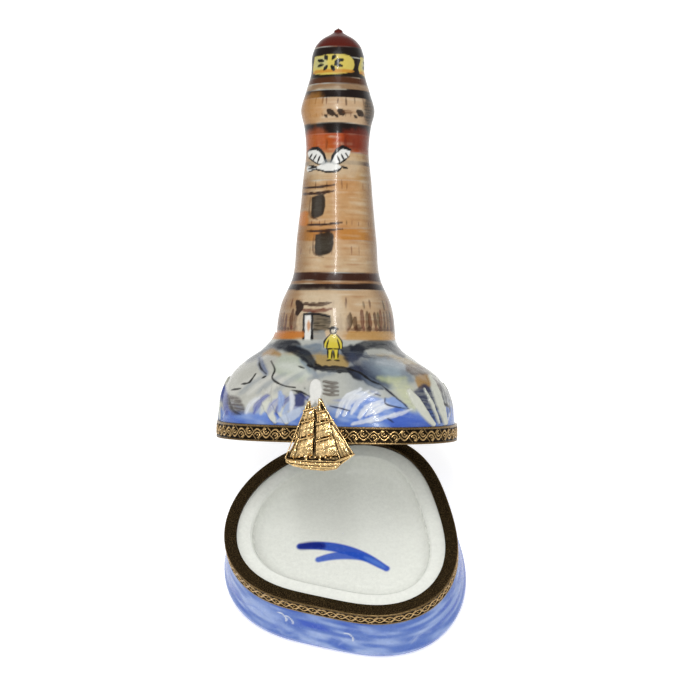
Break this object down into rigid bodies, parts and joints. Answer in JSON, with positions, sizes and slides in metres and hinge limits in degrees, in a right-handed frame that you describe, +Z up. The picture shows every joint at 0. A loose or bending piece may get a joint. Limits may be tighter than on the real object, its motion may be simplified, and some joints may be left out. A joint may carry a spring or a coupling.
{
  "type": "hinged porcelain trinket box",
  "caption": "Hinged porcelain trinket box shaped as a lighthouse on a rocky shore, with embossed brass rims, a ship-shaped clasp on the lid and a shallow dish in the base.",
  "frame": {"origin": "middle of the flat foot, on the surface the box stands on", "axes": "+Z up, +Y towards the hinge at the back, -Y towards the ship clasp at the front; at rest the lid leans back on its stop"},
  "size_m": [0.0613, 0.1136, 0.1046],
  "materials": {
    "base_porcelain": "glossy glaze, blue brushwork outside, plain white inside",
    "lid_porcelain": "glossy glaze over hand-painted stone, rock and sea",
    "antique_brass": "embossed, dark patina in the recesses, rubbed bright on the high parts",
    "cast_brass": "cast relief, bright on the sails, dark in the recesses",
    "pin_wire": "drawn wire, lightly tarnished"
  },
  "bodies": {
    "base": {"base_dish": "base_porcelain", "base_rim": "antique_brass", "base_hinge_leaf": "antique_brass", "base_knuckle_left": "antique_brass", "base_knuckle_middle": "antique_brass", "base_knuckle_right": "antique_brass", "hinge_pin": "pin_wire"},
    "lid": {"lighthouse_lid": "lid_porcelain", "lid_rim": "antique_brass", "lid_hinge_leaf": "antique_brass", "lid_knuckle_left": "antique_brass", "lid_knuckle_right": "antique_brass", "clasp_tongue": "antique_brass", "ship_clasp": "cast_brass"}
  },
  "joints": [
    {"name": "lid_hinge", "type": "hinge", "parent": "base", "child": "lid", "pos_m": [0.00335, 0.02796, 0.0175], "axis": [-1, 0, 0], "range_deg": [-49, 0]}
  ]
}
